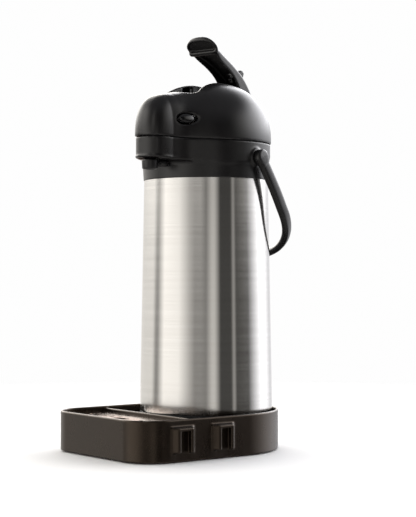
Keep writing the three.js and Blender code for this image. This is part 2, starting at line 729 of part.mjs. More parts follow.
function bailPin(side) {
  const inner = side * 74.8;
  const outer = side * 87.5;
  return rodX(4, Math.min(inner, outer), Math.max(inner, outer), BAIL_PIVOT.y, BAIL_PIVOT.z, 20);
}

// ------------------------------------------------------------------ assembly

const airpot = new THREE.Group();

const tray = new THREE.Group();
tray.rotation.z = TRAY_TURN;
tray.add(piece('tray_shell', trayShell(), BROWN_BLACK));
tray.add(piece('drip_grate', grate(), POLISHED));
FOOT_PLACES.forEach(([x, y], i) => {
  tray.add(piece(`tray_foot_${i + 1}`, discZ(FOOT_RADIUS, 0, FOOT_TOP, x, y, 24), RUBBER));
});
airpot.add(tray);

airpot.add(piece('steel_shell', outerShell(), STEEL));
airpot.add(piece('inner_flask', innerFlask(), STEEL));
airpot.add(piece('base_cup', baseCup(), BLACK_MATT));
airpot.add(piece('base_ring', ring(58, 70, 25 + GAP, 27.7 - GAP, 48), RUBBER));
airpot.add(piece('collar', collar(), BLACK));
airpot.add(piece('stopper', stopper(), PALE));
airpot.add(piece('dip_tube', ring(3.2, 4.5, 63, 349, 16, 0, -17.5), PALE));
airpot.add(piece('spout_duct', spoutDuct(), PALE));
airpot.add(piece('spout_nozzle', nozzle(), BLACK));
airpot.add(piece('bill_boss', discZ(7.2, 335.9, 341.8, 0, -85.1, 24), BLACK));

const lid = new THREE.Group();
lid.add(piece('lid_shell', lidShell(), BLACK));
lid.add(piece('lid_base', lidBase(), BLACK_MATT));
lid.add(piece('lid_gasket', ring(7.5, 12.5, 357 + GAP, 360 - GAP, 28), SILICONE));
lid.add(piece('lever_pin', rodX(3, -19, 19, LEVER_PIVOT.y, LEVER_PIVOT.z, 20), POLISHED));
lid.add(piece('button_right', button(1), BLACK));
lid.add(piece('button_left', button(-1), BLACK));
airpot.add(lid);

airpot.add(piece('hinge_pin', rodX(2, -28, 28, HINGE.y, HINGE.z, 16), POLISHED));
airpot.add(piece('bellows', bellows(), SILICONE));
const spring = coilSpring(15, 2, BELLOWS_BOTTOM + 1.2, PLATE_BOTTOM - 1.4, 6);
airpot.add(piece('bellows_spring', spring, POLISHED));
airpot.add(piece('pump_plate', pumpPlate(), BLACK_MATT));

const lever = new THREE.Group();
lever.position.set(0, LEVER_PIVOT.y, LEVER_PIVOT.z);
lever.rotation.x = -LEVER_RAISE;
const leverParts = new THREE.Group();
leverParts.position.set(0, -LEVER_PIVOT.y, -LEVER_PIVOT.z);
leverParts.add(piece('lever_shell', leverShell(), BLACK));
leverParts.add(piece('presser_yoke', presserYoke(), POLISHED));
leverParts.add(piece('presser_roller', roller(), PALE));
leverParts.add(piece('lock_knob', lockKnob(), BLACK));
lever.add(leverParts);
airpot.add(lever);

const handle = new THREE.Group();
handle.position.set(0, BAIL_PIVOT.y, BAIL_PIVOT.z);
handle.rotation.x = BAIL_LEAN;
handle.add(piece('bail_handle', bail(), BLACK));
airpot.add(handle);
airpot.add(piece('bail_pin_right', bailPin(1), BLACK_MATT));
airpot.add(piece('bail_pin_left', bailPin(-1), BLACK_MATT));

export default airpot;
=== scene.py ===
"""Thermal coffee airpot in its drip tray: the looks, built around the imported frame.

Shapes are worked out in millimetres in the row frame (+Z up, the spout towards
-Y, origin under the pot's axis) and handed to Blender in metres.
"""

import math

import bmesh
import bpy
import numpy as np
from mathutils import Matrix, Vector


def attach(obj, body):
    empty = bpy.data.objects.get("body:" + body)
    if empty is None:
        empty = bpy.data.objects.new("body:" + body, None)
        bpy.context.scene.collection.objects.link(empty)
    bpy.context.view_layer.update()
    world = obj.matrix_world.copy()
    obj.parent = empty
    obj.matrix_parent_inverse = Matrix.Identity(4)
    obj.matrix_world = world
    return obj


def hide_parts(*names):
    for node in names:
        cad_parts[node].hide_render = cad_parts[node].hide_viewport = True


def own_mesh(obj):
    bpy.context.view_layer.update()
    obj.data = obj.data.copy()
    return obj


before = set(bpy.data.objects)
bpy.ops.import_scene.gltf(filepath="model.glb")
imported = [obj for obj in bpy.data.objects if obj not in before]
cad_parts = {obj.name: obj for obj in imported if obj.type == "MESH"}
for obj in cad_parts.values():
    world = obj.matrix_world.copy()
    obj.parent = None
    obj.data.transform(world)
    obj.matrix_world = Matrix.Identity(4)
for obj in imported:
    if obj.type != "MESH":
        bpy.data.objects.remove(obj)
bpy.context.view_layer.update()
MM = 0.001

# ------------------------------------------------------------ shared dimensions

SEAM = 366.7
HEAD_RADIUS = 78.6
DOME_HEIGHT = 75.4
DOME_SWEEP = 6.0
DOME_POWER = 2.25
BILL_TIP = 117.5
BILL_POWER = 2.8
BILL_HALF_WIDTH = 26.0
BILL_FLARE = 0.36
BILL_FLARE_FROM = 91.5
BILL_ROUND_FROM = 69.0
LOBE_HEIGHT = 55.0
LOBE_CLIMB = 0.18
BLEND = 13.0
HEAD_WALL = 2.6
SEAM_HALF_GAP = 0.45
DECK_TOP = 345.0
NOZZLE_Y = -104.5

SHELL_BOTTOM, SHELL_TOP = 45.7, 323.0
SHELL_R_BOTTOM, SHELL_R_TOP = 80.0, 75.0

TRAY_TURN = math.radians(-13.8)
TRAY_HALF = 97.0
TRAY_FRONT = -163.2
TRAY_CORNER = 38.0
TRAY_REAR_CENTRE = -13.0
TRAY_HEIGHT = 48.2
TRAY_WALL = 2.6
DIVIDER_Y = -82.5

LEVER_PIVOT = (58.0, 395.0)
LEVER_RAISE = math.radians(36)
LEVER_HALF = 15.5
CHANNEL_HALF = 16.8
PADDLE_Y, PADDLE_A, PADDLE_B = -48.0, 22.5, 14.0
PADDLE_FLOOR = 422.0
HINGE = (83.5, 362.0)
BAIL_PIVOT = (-2.0, 348.0)
BAIL_LEAN = math.radians(37.6)
HINGE_BORE = 2.15
LEVER_BORE_LID, LEVER_BORE = 3.05, 3.1
BAIL_BORE = 4.15
BAIL_BOSS, BAIL_HUB = 9.4, 8.8
KNUCKLE = 4.3
CHANNEL_FLOOR = 391.0
STOPPER_BORE = 30.8
BUTTON_AT = np.array([32.6, -75.5, 391.0])
BUTTON_TURN, BUTTON_TILT = math.radians(-17), math.radians(16)

# ---------------------------------------------------------------- field helpers


def smin(a, b, k):
    """The lesser of two fields, with a fillet of about k between them."""
    h = np.maximum(k - np.abs(a - b), 0) / k
    return np.minimum(a, b) - h * h * k / 4


def smax(a, b, k):
    return -smin(-a, -b, k)


def clamp(v, low=0.0, high=1.0):
    return np.minimum(high, np.maximum(low, v))


def steps(y, table):
    """Piecewise-linear height from a short list of (y, z) points."""
    ys, zs = zip(*table)
    return np.interp(y, ys, zs)


def smooth_outline(points, closed=True, cuts=4):
    """Catmull-Rom curve through 2-D points."""
    p = np.array(points, float)
    n = len(p)
    out = []
    for i in range(n if closed else n - 1):
        if closed:
            a, b, c, d = (p[(i + j) % n] for j in (-1, 0, 1, 2))
        else:
            a, b, c, d = p[max(i - 1, 0)], p[i], p[i + 1], p[min(i + 2, n - 1)]
        for s in range(cuts):
            t = s / cuts
            out.append(0.5 * (2 * b + (c - a) * t + (2 * a - 5 * b + 4 * c - d) * t * t
                              + (3 * b - a - 3 * c + d) * t ** 3))
    if not closed:
        out.append(p[-1])
    return np.array(out)


def outline_distance(u, v, points):
    """Signed distance to a closed outline in a plane, negative inside."""
    shape = u.shape
    u = u.ravel()
    v = v.ravel()
    best = np.full(u.shape, 1e9)
    inside = np.zeros(u.shape, bool)
    q = np.roll(points, -1, axis=0)
    for (ax, ay), (bx, by) in zip(points, q):
        ex, ey = bx - ax, by - ay
        t = clamp(((u - ax) * ex + (v - ay) * ey) / max(ex * ex + ey * ey, 1e-12))
        best = np.minimum(best, (u - ax - t * ex) ** 2 + (v - ay - t * ey) ** 2)
        if ay != by:
            crossing = (ay > v) != (by > v)
            at = ax + (v - ay) * ex / (by - ay)
            inside ^= crossing & (u < at)
    d = np.sqrt(best)
    return np.where(inside, -d, d).reshape(shape)


def surface_mesh(field, low, high, step, polish=4):
    """Even quads on the zero level of a field inside a box: (points, faces)."""
    axes = [np.arange(a, b + step, step) for a, b in zip(low, high)]
    grid = np.meshgrid(*axes, indexing="ij")
    value = field(*grid)
    n = value.shape
    cells = tuple(k - 1 for k in n)
    count = np.zeros(cells)
    total = np.zeros(cells + (3,))
    negative = value < 0
    edges = []
    for axis in range(3):
        near = [slice(None)] * 3
        far = [slice(None)] * 3
        near[axis] = slice(0, -1)
        far[axis] = slice(1, None)
        a, b = value[tuple(near)], value[tuple(far)]
        cross = negative[tuple(near)] != negative[tuple(far)]
        t = np.where(cross, a / np.where(cross, a - b, 1), 0)
        place = [g[tuple(near)] for g in grid]
        place[axis] = place[axis] + t * step
        others = [k for k in range(3) if k != axis]
        for da in (0, 1):
            for db in (0, 1):
                cut = [slice(None)] * 3
                cut[others[0]] = slice(da, da + cells[others[0]])
                cut[others[1]] = slice(db, db + cells[others[1]])
                c = cross[tuple(cut)]
                count += c
                for k in range(3):
                    total[..., k] += np.where(c, place[k][tuple(cut)], 0)
        edges.append((axis, others, cross, negative[tuple(near)]))
    used = count > 0
    index = np.full(cells, -1)
    index[used] = np.arange(used.sum())
    points = total[used] / count[used][:, None]
    faces = []
    for axis, others, cross, low_inside in edges:
        cut = [slice(None)] * 3
        for k in others:
            cut[k] = slice(1, cells[k])
        c = cross[tuple(cut)]
        where = np.argwhere(c)
        flip = low_inside[tuple(cut)][c]
        for k in others:
            where[:, k] += 1
        corner = []
        for da, db in ((1, 1), (0, 1), (0, 0), (1, 0)):
            at = where.copy()
            at[:, others[0]] -= da
            at[:, others[1]] -= db
            corner.append(index[at[:, 0], at[:, 1], at[:, 2]])
        quad = np.stack(corner, 1)
        if axis == 1:
            flip = ~flip
        faces.append(np.where(flip[:, None], quad, quad[:, ::-1]))
    faces = np.concatenate(faces)
    h = 0.04
    for _ in range(polish):
        x, y, z = points.T
        f = field(x, y, z)
        g = np.stack([
            field(x + h, y, z) - field(x - h, y, z),
            field(x, y + h, z) - field(x, y - h, z),
            field(x, y, z + h) - field(x, y, z - h),
        ], 1) / (2 * h)
        move = f[:, None] * g / np.maximum((g * g).sum(1), 0.2)[:, None]
        size = np.linalg.norm(move, axis=1)
        move *= np.minimum(1, 0.45 * step / np.maximum(size, 1e-9))[:, None]
        points = points - move
    return points, faces


# -------------------------------------------------------------- object helpers


def turn_x(points, angle, pivot):
    """Points turned about a line along X through (y, z) = pivot."""
    y, z = points[:, 1] - pivot[0], points[:, 2] - pivot[1]
    c, s = math.cos(angle), math.sin(angle)
    return np.stack([points[:, 0], pivot[0] + y * c - z * s, pivot[1] + y * s + z * c], 1)


def turn_z(points, angle):
    c, s = math.cos(angle), math.sin(angle)
    x, y = points[:, 0], points[:, 1]
    return np.stack([x * c - y * s, x * s + y * c, points[:, 2]], 1)


def piece(name, points, faces, body, slot, material, *nodes):
    """A shown piece in millimetres that rides a body and stands for CAD nodes."""
    mesh = bpy.data.meshes.new(name)
    mesh.from_pydata((np.asarray(points) * MM).tolist(), [], [list(map(int, f)) for f in faces])
    mesh.validate()
    bm = bmesh.new()
    bm.from_mesh(mesh)
    bmesh.ops.recalc_face_normals(bm, faces=bm.faces)
    bm.to_mesh(mesh)
    bm.free()
    mesh.shade_smooth()
    mesh.materials.append(material)
    obj = bpy.data.objects.new(name, mesh)
    bpy.context.scene.collection.objects.link(obj)
    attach(obj, body)
    if nodes:
        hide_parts(*nodes)
    return obj


def lathe(profile, sides=128):
    """Points and faces of a closed (radius, height) profile turned about Z."""
    points, faces = [], []
    rows = []
    for r, z in profile:
        if r < 1e-6:
            rows.append([len(points)] * sides)
            points.append((0, 0, z))
            continue
        rows.append(list(range(len(points), len(points) + sides)))
        for i in range(sides):
            t = 2 * math.pi * i / sides
            points.append((r * math.cos(t), r * math.sin(t), z))
    for a, b in zip(rows, rows[1:] + rows[:1]):
        for i in range(sides):
            j = (i + 1) % sides
            quad = [a[i], a[j], b[j], b[i]]
            face = list(dict.fromkeys(quad))
            if len(face) > 2:
                faces.append(face)
    return np.array(points, float), faces


def soften(obj, width, segments=2, angle=30):
    """Rounds the edges of a carried-over CAD node and smooths its shading."""
    weld = obj.modifiers.new("weld", "WELD")
    weld.merge_threshold = 2e-6
    bevel = obj.modifiers.new("bevel", "BEVEL")
    bevel.width = width * MM
    bevel.segments = segments
    bevel.limit_method = "ANGLE"
    bevel.angle_limit = math.radians(angle)
    bevel.harden_normals = True
    bevel.miter_outer = "MITER_ARC"


# --------------------------------------------------------------------- materials


class Nodes:
    """Short hand for building a material's node tree."""

    def __init__(self, name):
        self.material = bpy.data.materials.new(name)
        self.material.use_nodes = True
        self.tree = self.material.node_tree
        self.shader = self.tree.nodes["Principled BSDF"]
        self.coords = self.tree.nodes.new("ShaderNodeTexCoord").outputs["Object"]

    def add(self, kind, **values):
        node = self.tree.nodes.new(kind)
        for key, value in values.items():
            if hasattr(node, key):
                setattr(node, key, value)
            else:
                node.inputs[key.replace("_", " ")].default_value = value
        return node

    def join(self, a, b):
        self.tree.links.new(a, b)

    def scaled(self, x, y, z):
        node = self.add("ShaderNodeMapping")
        node.inputs["Scale"].default_value = (x, y, z)
        self.join(self.coords, node.inputs["Vector"])
        return node.outputs["Vector"]

    def noise(self, vector, scale, detail=3.0, roughness=0.55):
        node = self.add("ShaderNodeTexNoise")
        node.inputs["Scale"].default_value = scale
        node.inputs["Detail"].default_value = detail
        node.inputs["Roughness"].default_value = roughness
        self.join(vector, node.inputs["Vector"])
        return node.outputs["Fac"]

    def spread(self, value, low, high, start=0.0, end=1.0):
        node = self.add("ShaderNodeMapRange")
        node.inputs["From Min"].default_value = start
        node.inputs["From Max"].default_value = end
        node.inputs["To Min"].default_value = low
        node.inputs["To Max"].default_value = high
        self.join(value, node.inputs["Value"])
        return node.outputs["Result"]

    def mix(self, fac, a, b):
        node = self.add("ShaderNodeMix", data_type="RGBA")
        for socket, value in (("A", a), ("B", b)):
            target = [s for s in node.inputs if s.name == socket and s.type == "RGBA"][0]
            if isinstance(value, (tuple, list)):
                target.default_value = tuple(value) + (1,)
            else:
                self.join(value, target)
        factor = [s for s in node.inputs if s.name == "Factor" and s.type == "VALUE"][0]
        self.join(fac, factor)
        return [s for s in node.outputs if s.type == "RGBA"][0]

    def maths(self, operation, a, b=None):
        node = self.add("ShaderNodeMath", operation=operation)
        for i, value in enumerate((a, b)):
            if value is None:
                continue
            if isinstance(value, (int, float)):
                node.inputs[i].default_value = value
            else:
                self.join(value, node.inputs[i])
        return node.outputs[0]

    def edges(self, start=0.53, end=0.6):
        """1 on sharp outward edges, 0 elsewhere."""
        geometry = self.add("ShaderNodeNewGeometry")
        return self.spread(geometry.outputs["Pointiness"], 0.0, 1.0, start, end)

    def bump(self, height, distance, strength=1.0):
        node = self.add("ShaderNodeBump")
        node.inputs["Distance"].default_value = distance
        node.inputs["Strength"].default_value = strength
        self.join(height, node.inputs["Height"])
        self.join(node.outputs["Normal"], self.shader.inputs["Normal"])

    def set(self, **values):
        for key, value in values.items():
            self.shader.inputs[key.replace("_", " ")].default_value = value


def plastic(name, dark, light, rough_low, rough_high, grain=0.00002, tint=(1, 1, 1),
            edge_highlight_and_wear_colour=(0.09, 0.09, 0.095)):
    """Moulded plastic: faint cloudy colour, fine spark-eroded grain, and sharp edges painted paler as a
    painted highlight that is partly edge wear.
    """
    n = Nodes(name)
    clouds = n.noise(n.scaled(1, 1, 1), 22.0, 4.0)
    base = n.mix(n.spread(clouds, 0.0, 1.0, 0.35, 0.65), dark, light)
    # Sharp edges painted paler in patches: a painted highlight along the edges, partly edge wear.
    painted_edge_highlight_and_wear = n.maths("MULTIPLY", n.edges(), n.spread(n.noise(n.scaled(1, 1, 1), 160.0), 0.1, 0.5, 0.4, 0.7))
    n.join(n.mix(painted_edge_highlight_and_wear, base, edge_highlight_and_wear_colour), n.shader.inputs["Base Color"])
    smear = n.noise(n.scaled(1, 1, 0.45), 46.0, 5.0, 0.6)
    n.join(n.spread(smear, rough_low, rough_high, 0.3, 0.7), n.shader.inputs["Roughness"])
    n.bump(n.noise(n.scaled(1, 1, 1), 1900.0, 2.0, 0.5), grain, 0.6)
    n.set(IOR=1.52, Specular_Tint=tuple(tint) + (1,))
    return n.material


def brushed(name, dark, light, rough_low, rough_high, bump=0.000012, streak=2600.0, anisotropy=0.8):
    """Steel brushed round the axis: thin level streaks in colour, gloss and relief."""
    n = Nodes(name)
    fine = n.noise(n.scaled(3, 3, streak), 1.0, 2.0, 0.6)
    broad = n.noise(n.scaled(6, 6, 240), 1.0, 3.0, 0.6)
    both = n.maths("ADD", n.maths("MULTIPLY", fine, 0.65), n.maths("MULTIPLY", broad, 0.35))
    base = n.mix(n.spread(both, 0.0, 1.0, 0.36, 0.64), dark, light)
    n.join(base, n.shader.inputs["Base Color"])
    n.join(n.spread(both, rough_low, rough_high, 0.35, 0.65), n.shader.inputs["Roughness"])
    n.bump(fine, bump, 0.35)
    tangent = n.add("ShaderNodeTangent", direction_type="RADIAL", axis="Z")
    n.join(tangent.outputs["Tangent"], n.shader.inputs["Tangent"])
    n.set(Metallic=1.0, Anisotropic=anisotropy, Anisotropic_Rotation=0.25)
    return n.material


def sheet_steel(name, dark, light, rough_low, rough_high, along=(40, 400, 40)):
    """Bright sheet, wire or rod with faint drawing lines."""
    n = Nodes(name)
    lines = n.noise(n.scaled(*along), 1.0, 3.0, 0.6)
    cloud = n.noise(n.scaled(1, 1, 1), 30.0, 3.0)
    n.join(n.mix(n.spread(cloud, 0.0, 1.0, 0.35, 0.65), dark, light), n.shader.inputs["Base Color"])
    n.join(n.spread(lines, rough_low, rough_high, 0.3, 0.7), n.shader.inputs["Roughness"])
    n.bump(lines, 0.00001, 0.3)
    n.set(Metallic=1.0)
    return n.material


def soft_plastic(name, dark, light, rough_low, rough_high, grain=0.00003):
    """Rubber, silicone or natural plastic with a little mottling."""
    n = Nodes(name)
    cloud = n.noise(n.scaled(1, 1, 1), 60.0, 4.0)
    n.join(n.mix(n.spread(cloud, 0.0, 1.0, 0.35, 0.65), dark, light), n.shader.inputs["Base Color"])
    n.join(n.spread(cloud, rough_low, rough_high, 0.35, 0.65), n.shader.inputs["Roughness"])
    n.bump(n.noise(n.scaled(1, 1, 1), 900.0, 2.0), grain, 0.5)
    return n.material


HEAD = plastic("head_plastic", (0.0048, 0.0044, 0.0048), (0.0078, 0.007, 0.0076), 0.27, 0.35)
HANDLE = plastic("handle_plastic", (0.004, 0.004, 0.0045), (0.007, 0.0065, 0.007), 0.24, 0.32)
BUTTONS = plastic("button_plastic", (0.003, 0.003, 0.0035), (0.005, 0.005, 0.0055), 0.12, 0.17)
DARK = plastic("dark_plastic", (0.006, 0.006, 0.007), (0.010, 0.010, 0.011), 0.45, 0.6)
TRAY = plastic("tray_plastic", (0.005, 0.0034, 0.0026), (0.009, 0.006, 0.0045), 0.24, 0.36,
               grain=0.00004, tint=(1.0, 0.79, 0.62), edge_highlight_and_wear_colour=(0.1, 0.075, 0.06))
STEEL = brushed("brushed_steel", (0.70, 0.685, 0.665), (0.78, 0.77, 0.755), 0.12, 0.17, bump=0.000006,
                anisotropy=0.93)
LINER = brushed("liner_steel", (0.5, 0.49, 0.48), (0.6, 0.59, 0.58), 0.3, 0.4, anisotropy=0.5)
GRATE = sheet_steel("grate_steel", (0.3, 0.21, 0.165), (0.38, 0.29, 0.245), 0.08, 0.15)
BRIGHT = sheet_steel("pin_steel", (0.55, 0.55, 0.55), (0.66, 0.66, 0.66), 0.14, 0.28)
RUBBER = soft_plastic("rubber", (0.012, 0.012, 0.012), (0.022, 0.022, 0.022), 0.7, 0.85)
SILICONE = soft_plastic("silicone", (0.42, 0.4, 0.36), (0.52, 0.5, 0.46), 0.45, 0.6)
PALE = soft_plastic("pale_plastic", (0.6, 0.58, 0.52), (0.7, 0.68, 0.62), 0.4, 0.55)

# -------------------------------------------------------------------- the head


def head(x, y, z):
    """The head's outside: dome and front lobe run together, walls upright below the seam."""
    up = np.maximum(0, z - SEAM)
    sweep = DOME_SWEEP * clamp(up / DOME_HEIGHT)
    size = ((np.hypot(x, y - sweep) / HEAD_RADIUS) ** DOME_POWER
            + (up / DOME_HEIGHT) ** DOME_POWER) ** (1 / DOME_POWER)
    dome = (size - 1) * HEAD_RADIUS
    ahead = -y
    width = BILL_HALF_WIDTH + BILL_FLARE * clamp(BILL_FLARE_FROM - ahead, 0, 46)
    height = LOBE_HEIGHT + LOBE_CLIMB * clamp(80 - ahead, 0, 18)
    reach = np.where(ahead > BILL_ROUND_FROM,
                     (ahead - BILL_ROUND_FROM) / (BILL_TIP - BILL_ROUND_FROM),
                     np.maximum(0, 40 - ahead) / 60)
    size = ((np.abs(x) / width) ** BILL_POWER + (up / height) ** BILL_POWER
            + np.abs(reach) ** BILL_POWER) ** (1 / BILL_POWER)
    lobe = (size - 1) * BILL_HALF_WIDTH * 1.15
    return smin(dome, lobe, BLEND)


SEAM_LINE = [(-118, 2.8), (-102, 2.52), (-86, 1.85), (-70, 1.0), (-56, 0.39), (-40, 0.0), (150, 0.0)]


def seam(y):
    return SEAM + steps(y, SEAM_LINE)


def button_axes():
    """(along, up, out) directions of the right release button."""
    c, s = math.cos(BUTTON_TILT), math.sin(BUTTON_TILT)
    ct, st = math.cos(BUTTON_TURN), math.sin(BUTTON_TURN)
    return np.array([-st, ct, 0]), np.array([-s * ct, -s * st, c]), np.array([c * ct, c * st, s])


def button_frame(x, y, z, side):
    """(along, up, out) of a point measured in a release button's own axes."""
    along, up, out = button_axes()
    dx, dy, dz = x * side - BUTTON_AT[0], y - BUTTON_AT[1], z - BUTTON_AT[2]
    return tuple(a[0] * dx + a[1] * dy + a[2] * dz for a in (along, up, out))


CHEEK_LINE = [(-21, 412), (36, 412), (46, 402), (46.8, 386), (95, 386)]


def lid_field(x, y, z):
    ax = np.abs(x)
    outside = head(x, y, z)
    half = CHANNEL_HALF + 4.4 * clamp((-5 - y) / 31)
    oval = (np.hypot(x / (PADDLE_A + 1.6), (y - PADDLE_Y) / (PADDLE_B + 1.8)) - 1) * PADDLE_B
    pocket = smax(oval, PADDLE_FLOOR - z, 5)
    floor_part = np.maximum(smax(ax - half, PADDLE_FLOOR - z, 5), np.maximum(y + 4, -42 - y))
    open_part = np.maximum(np.maximum(ax - half, CHANNEL_FLOOR - z), -22 - y)
    air = smin(smin(pocket, floor_part, 3), open_part, 1.2)
    tub_oval = (np.hypot(x / (PADDLE_A + 4.2), (y - PADDLE_Y) / (PADDLE_B + 4.2)) - 1) * (PADDLE_B + 4)
    tub = np.maximum(np.minimum(tub_oval, np.maximum(ax - half - 3, np.maximum(-46 - y, y + 19.6))),
                     PADDLE_FLOOR - 2.4 - z)
    cheeks = np.maximum(np.abs(ax - CHANNEL_HALF - 1.2) - 1.2, steps(y, CHEEK_LINE) - z)
    cheeks = np.maximum(cheeks, -21 - y)
    hollow = np.maximum(outside + HEAD_WALL, -np.minimum(tub, cheeks))
    shell = np.maximum(outside, -hollow)
    shell = smax(shell, -air, 3)
    knuckle_line = np.array([
        (80.5, 365), (87.7, 362), (87.7, 372), (83.5, 378), (75, 384), (74.6, 367.6), (79.3, 367.6)])
    near = (y > 68) & (z < 392)
    knuckle = np.full(x.shape, 50.0)
    if near.any():
        yy, zz = y[near], z[near]
        part = np.minimum(outline_distance(yy, zz, knuckle_line),
                          np.hypot(yy - HINGE[0], zz - HINGE[1]) - KNUCKLE)
        knuckle[near] = smax(part, ax[near] - 21.4, 0.8)
    cut = seam(y) + SEAM_HALF_GAP - z
    shell = smax(shell, cut, 1.4)
    shell = smin(shell, np.maximum(knuckle, -(outside + HEAD_WALL)), 1.2)
    shell = np.maximum(shell, HINGE_BORE - np.hypot(y - HINGE[0], z - HINGE[1]))
    bore = np.maximum(np.hypot(y - LEVER_PIVOT[0], z - LEVER_PIVOT[1]) - LEVER_BORE_LID, ax - 24)
    shell = np.maximum(shell, -bore)
    for side in (-1, 1):
        along, up, out = button_frame(x, y, z, side)
        oval = (np.hypot(along / 12.0, up / 6.5) - 1) * 6.5
        dish = smax(oval, -out - 14, 0.5)
        shell = smax(shell, -np.where(x * side > 0, dish, 50.0), 2.2)
    return shell


def under_line(y):
    return steps(y, [(-140, 346.2), (-40, 339.8), (-12, 341.5), (22, 351), (140, 351)])


def collar_field(x, y, z):
    ax = np.abs(x)
    plan = head(x, y, np.full(np.shape(z), SEAM)) + 0.9
    under = under_line(y) - z
    lip = 0.5 * np.exp(-((z - under_line(y) - 1.6) / 1.5) ** 2) * clamp((-70 - y) / 25)
    r = np.hypot(x, y)
    neck_radius = np.interp(z, [322, 341, 352], [75.7, 77.0, 77.5])
    body = smax(plan - lip, smin(under, r - neck_radius, 5), 2.2)
    room = np.maximum(plan + HEAD_WALL, DECK_TOP - z)
    below = r - np.interp(z, [332, 341], [72.4, 58])
    below = np.maximum(below, z - 341)
    body = np.maximum(body, -room)
    body = np.maximum(body, -below)
    neck_ring = np.maximum(np.abs(r - 33.5) - 1.5, np.maximum(z - DECK_TOP, 336 - z))
    body = np.minimum(body, neck_ring)
    body = np.maximum(body, STOPPER_BORE - r)
    body = smax(body, 7.2 - np.hypot(x, y - NOZZLE_Y), 0.8)
    pin = np.hypot(y - BAIL_PIVOT[0], z - BAIL_PIVOT[1])
    boss = smax(pin - BAIL_BOSS, np.maximum(ax - 79, 74 - ax), 1.2)
    body = smin(body, boss, 5)
    body = np.where(ax > 60, np.maximum(body, BAIL_BORE - pin), body)
    lug_line = np.array([
        (70.5, 352), (76, 352), (86.7, 359), (86.5, 365), (82.5, 366), (70.5, 365.5)])
    near = (y > 62) & (ax < 32)
    if near.any():
        yy, zz = y[near], z[near]
        part = np.minimum(outline_distance(yy, zz, lug_line),
                          np.hypot(yy - HINGE[0], zz - HINGE[1]) - KNUCKLE)
        lug = smax(part, np.abs(ax[near] - 25) - 3, 0.8)
        body = body.copy()
        body[near] = np.minimum(body[near], lug)
    body = np.maximum(body, HINGE_BORE - np.hypot(y - HINGE[0], z - HINGE[1]))
    top = z - (seam(y) - SEAM_HALF_GAP)
    body = np.where(near & (z > SEAM - 3), body, smax(body, top, 0.9))
    return smax(body, SHELL_TOP - 0.3 - z, 0.9)


LEVER_BACK = [
    (67.5, 395), (68.6, 404), (67, 414), (62, 424), (54, 431.6), (43.5, 436.6), (31, 440), (18.5, 441.4),
    (5, 440.8), (-9, 439.4), (-22, 436.8), (-34, 433.6), (-44, 432), (-52, 432.4), (-58.6, 434.6)]
LEVER_FRONT = [
    (-61.4, 434), (-61.6, 430.4), (-56, 427.4), (-48, 425.6), (-36, 424.6), (-27, 424.8), (-14, 426.4),
    (2, 427.6), (15, 425.2), (28, 420.4), (38, 413), (45, 404), (48.6, 395), (50.5, 389), (58, 386.6),
    (64.5, 389.5)]
LEVER_SIDE = smooth_outline(LEVER_BACK + LEVER_FRONT, cuts=3)
LEVER_CEILING = np.array(
    [(y if y < 45 else y - 2.4, z - 2.6) for y, z in LEVER_BACK[:-1]]
    + [(-59.2, 431.4), (-64, 380), (62, 380), (62, 386)])


def lever_plan(x, y, inset):
    """Plan of the lever: a straight arm that flares into the oval paddle."""
    half = LEVER_HALF - inset + 3.4 * clamp((-10 - y) / 26) ** 1.6
    arm = np.maximum(np.abs(x) - half, PADDLE_Y - y)
    a, b = PADDLE_A - inset, PADDLE_B - inset
    oval = (np.hypot(x / a, (y - PADDLE_Y) / b) - 1) * b
    return smin(arm, oval, 3)


def lever_field(x, y, z):
    side = outline_distance(y, z, LEVER_SIDE)
    body = smax(side, lever_plan(x, y, 0), 4)
    ceiling = outline_distance(y, z, LEVER_CEILING)
    hollow = smax(ceiling, lever_plan(x, y, 2.2), 4)
    web = np.abs(y + 40.6 + 0.3 * (z - 428)) - 1.1
    hollow = smax(hollow, -web, 2)
    body = smax(body, -hollow, 1.1)
    lip = smax(smax(np.abs(x) - 21.2, np.abs(y + 41.4) - 2.4, 2), np.abs(z - 425.5) - 2.2, 2)
    body = smin(body, lip, 2.5)
    body = np.maximum(body, LEVER_BORE - np.hypot(y - LEVER_PIVOT[0], z - LEVER_PIVOT[1]))
    slot = np.maximum(np.abs(x) - 3.4, np.maximum(11.2 - y, y - 22.4))
    return np.maximum(body, -np.maximum(slot, 425 - z))


def bail_path():
    line = [(83.9, 0), (83.9, -20), (83.8, -40), (83.2, -56), (82.2, -71)]
    for t in (10, 22, 34, 46, 60, 75):
        c, s = math.cos(math.radians(t)), math.sin(math.radians(t))
        line.append((82 * c ** 0.85, -71 - 72 * s ** 0.85))
    line.append((0, -143))
    line += [(-x, z) for x, z in line[-2::-1]]
    return smooth_outline(line, closed=False, cuts=5)


BAIL_LINE = bail_path()


def bail_field(x, y, z):
    """Drawn hanging straight down from a pivot at the origin."""
    shape = np.shape(x)
    u, v = np.abs(np.ravel(x)), np.ravel(z)
    best = np.full(u.shape, 1e9)
    half = BAIL_LINE[: len(BAIL_LINE) // 2 + 2]
    for (ax, az), (bx, bz) in zip(half[:-1], half[1:]):
        ex, ez = bx - ax, bz - az
        t = clamp(((u - ax) * ex + (v - az) * ez) / (ex * ex + ez * ez))
        best = np.minimum(best, (u - ax - t * ex) ** 2 + (v - az - t * ez) ** 2)
    off = np.sqrt(best).reshape(shape)
    depth = 7.8 * (1 - 0.22 * clamp((-85 - z) / 48))
    size = ((off / 4.6) ** 2.7 + (np.abs(y) / depth) ** 2.7) ** (1 / 2.7)
    arm = (size - 1) * 4.8
    arm = np.maximum(arm, z - 4)
    ax = np.abs(x)
    pin = np.hypot(y, z)
    hub = smax(pin - BAIL_HUB, np.maximum(ax - 88.9, 79.4 - ax), 3)
    body = smin(arm, hub, 4)
    body = np.maximum(body, np.where(z > -14, 79.3 - ax, -50.0))
    return np.maximum(body, -np.maximum(pin - BAIL_BORE, ax - 87.8))


# --------------------------------------------------------------------- the tray


